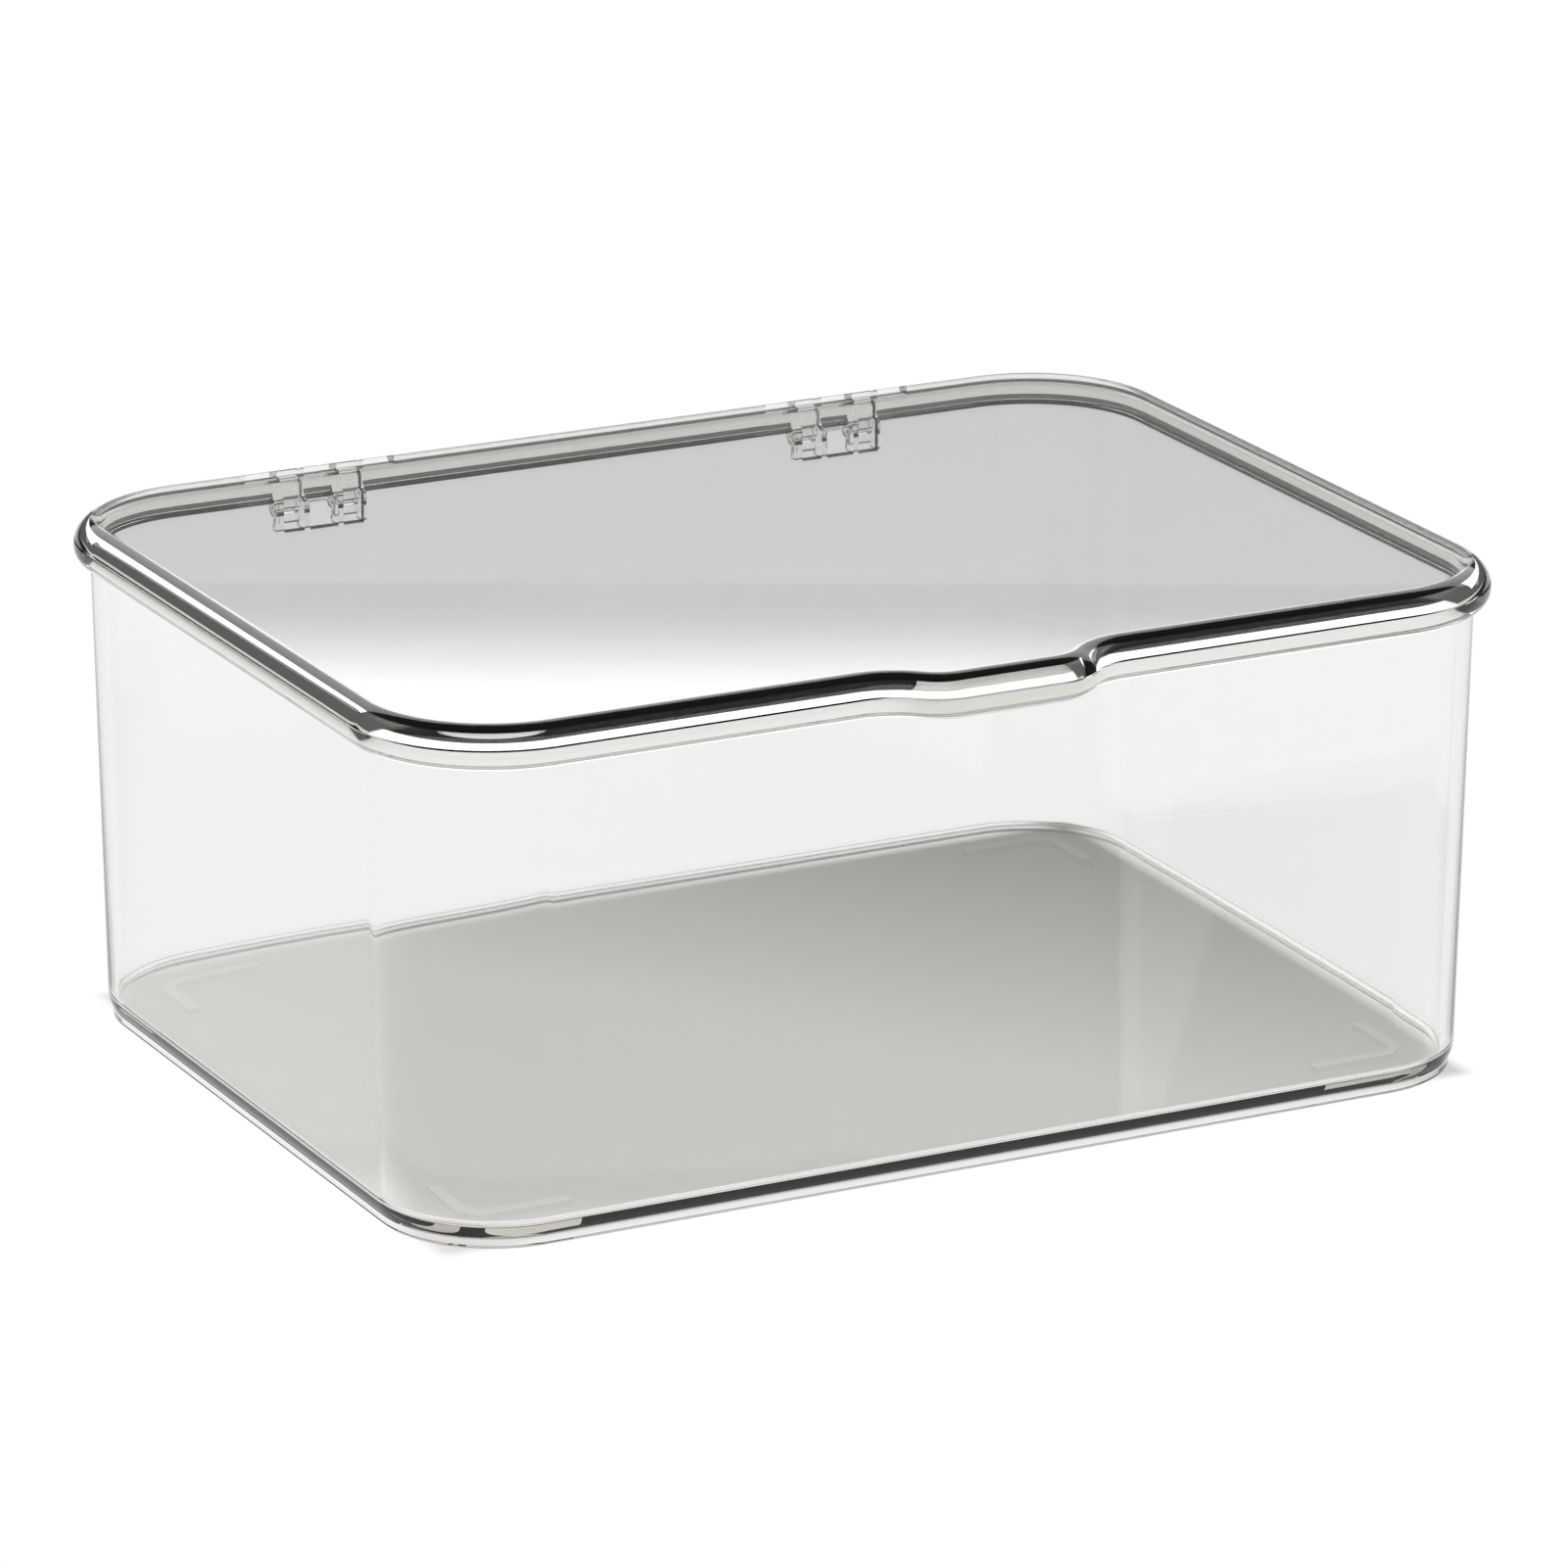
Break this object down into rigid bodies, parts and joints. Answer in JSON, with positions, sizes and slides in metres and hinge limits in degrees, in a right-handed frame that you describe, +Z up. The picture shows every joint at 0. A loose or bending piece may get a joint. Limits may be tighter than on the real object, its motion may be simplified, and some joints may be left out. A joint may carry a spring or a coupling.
{
  "type": "hinged storage box",
  "caption": "Clear moulded storage box with rounded corners, a hinged lid and a finger tab along the front edge.",
  "frame": {"origin": "on the resting surface, below the middle of the whole footprint with its tab and hinges", "axes": "+X along the length, to the right as seen from the front; +Y from the finger tab towards the hinges; +Z up"},
  "size_m": [0.28, 0.2206, 0.1197],
  "materials": {
    "clear_plastic": "polished, see-through",
    "clear_pin": "polished, see-through"
  },
  "bodies": {
    "box": {"box_body": "clear_plastic", "hinge_pin_1": "clear_pin", "hinge_pin_2": "clear_pin", "hinge_pin_3": "clear_pin", "hinge_pin_4": "clear_pin"},
    "lid": {"lid": "clear_plastic"}
  },
  "joints": [
    {"name": "lid_hinge", "type": "hinge", "parent": "box", "child": "lid", "pos_m": [0, 0.10808, 0.1085], "axis": [-1, 0, 0], "range_deg": [0, 110]}
  ]
}
